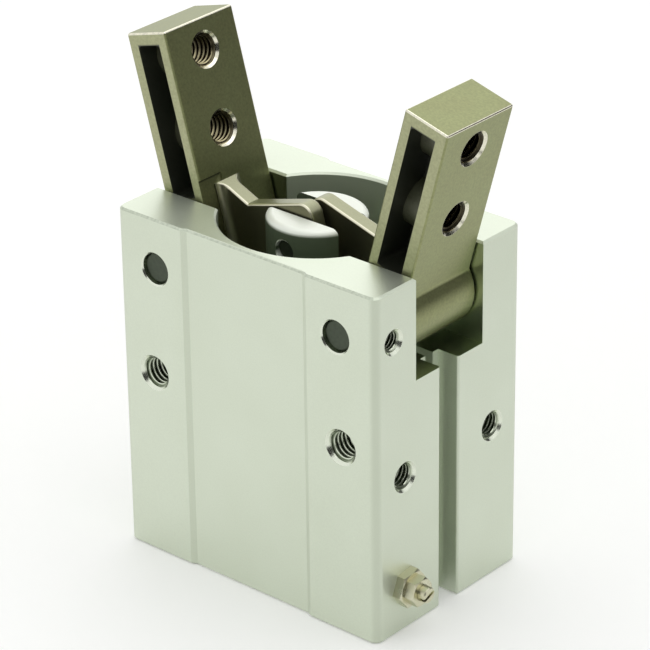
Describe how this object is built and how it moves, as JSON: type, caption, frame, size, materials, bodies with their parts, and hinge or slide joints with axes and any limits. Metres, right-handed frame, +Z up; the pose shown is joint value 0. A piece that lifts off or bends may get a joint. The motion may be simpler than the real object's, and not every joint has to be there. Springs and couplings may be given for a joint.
{
  "type": "pneumatic angular gripper",
  "caption": "Pneumatic angular gripper: a piston in a slotted aluminium block pulls on crossed arms and swings pocketed steel fingers on pivot pins to close on a workpiece.",
  "frame": {"origin": "centre of the body's bottom face, which is the bottom centre of the whole at rest", "axes": "+Z up along the piston's stroke towards the fingers, +X from the left finger to the right one, -Y the front face"},
  "size_m": [0.0728, 0.04, 0.0982],
  "materials": {
    "anodised_aluminium": "fine bead-blasted, clear anodised",
    "bead_blasted_steel": "cast and bead-blasted, bare",
    "satin_aluminium": "turned satin",
    "blackened_steel": "black oxide",
    "spring_steel": "phosphated spring steel",
    "sintered_bronze": "sintered, oiled",
    "nickel_plated_brass": "nickel plated, turned",
    "nitrile_rubber": "moulded matt",
    "urethane_rubber": "moulded satin",
    "bearing_plastic": "machined matt",
    "bonded_magnet": "moulded matt"
  },
  "bodies": {
    "housing": {"body": "anodised_aluminium", "left_pivot_pin": "blackened_steel", "right_pivot_pin": "blackened_steel", "pin_set_screws": "blackened_steel", "rod_cover": "anodised_aluminium", "rod_bush": "sintered_bronze", "rod_seal": "nitrile_rubber", "cover_o_ring": "nitrile_rubber", "cover_retaining_ring": "spring_steel", "upper_bumper": "urethane_rubber", "end_cap": "anodised_aluminium", "end_cap_o_ring": "nitrile_rubber", "end_cap_retaining_ring": "spring_steel", "lower_bumper": "urethane_rubber", "needle_bushing": "nickel_plated_brass", "needle_lock_nut": "nickel_plated_brass", "passage_plug": "spring_steel"},
    "piston_unit": {"piston_rod": "satin_aluminium", "piston": "satin_aluminium", "piston_screw": "blackened_steel", "piston_seal": "nitrile_rubber", "wear_ring": "bearing_plastic", "magnet_ring": "bonded_magnet", "rod_o_ring": "nitrile_rubber", "cross_pin": "blackened_steel"},
    "left_lever": {"left_finger": "bead_blasted_steel", "left_arm": "bead_blasted_steel", "left_finger_bushes": "sintered_bronze"},
    "right_lever": {"right_finger": "bead_blasted_steel", "right_arm": "bead_blasted_steel", "right_finger_bushes": "sintered_bronze"},
    "needle": {"throttle_needle": "nickel_plated_brass", "needle_o_ring": "nitrile_rubber"}
  },
  "joints": [
    {"name": "piston_slide", "type": "slide", "parent": "housing", "child": "piston_unit", "axis": [0, 0, -1], "range_m": [0, 0.00762]},
    {"name": "left_finger_swing", "type": "hinge", "parent": "housing", "child": "left_lever", "pos_m": [-0.021, 0, 0.0582], "axis": [0, 1, 0], "range_deg": [0, 20.4]},
    {"name": "right_finger_swing", "type": "hinge", "parent": "housing", "child": "right_lever", "pos_m": [0.021, 0, 0.0582], "axis": [0, -1, 0], "range_deg": [0, 20.4]},
    {"name": "needle_turn", "type": "hinge", "parent": "housing", "child": "needle", "pos_m": [0.0338, -0.012, 0.0088], "axis": [1, 0, 0], "range_deg": [0, 720]}
  ],
  "couplings": [
    {"joint": "left_finger_swing", "follows": "piston_slide", "rad_per_m": 46.715},
    {"joint": "right_finger_swing", "follows": "piston_slide", "rad_per_m": 46.715}
  ]
}
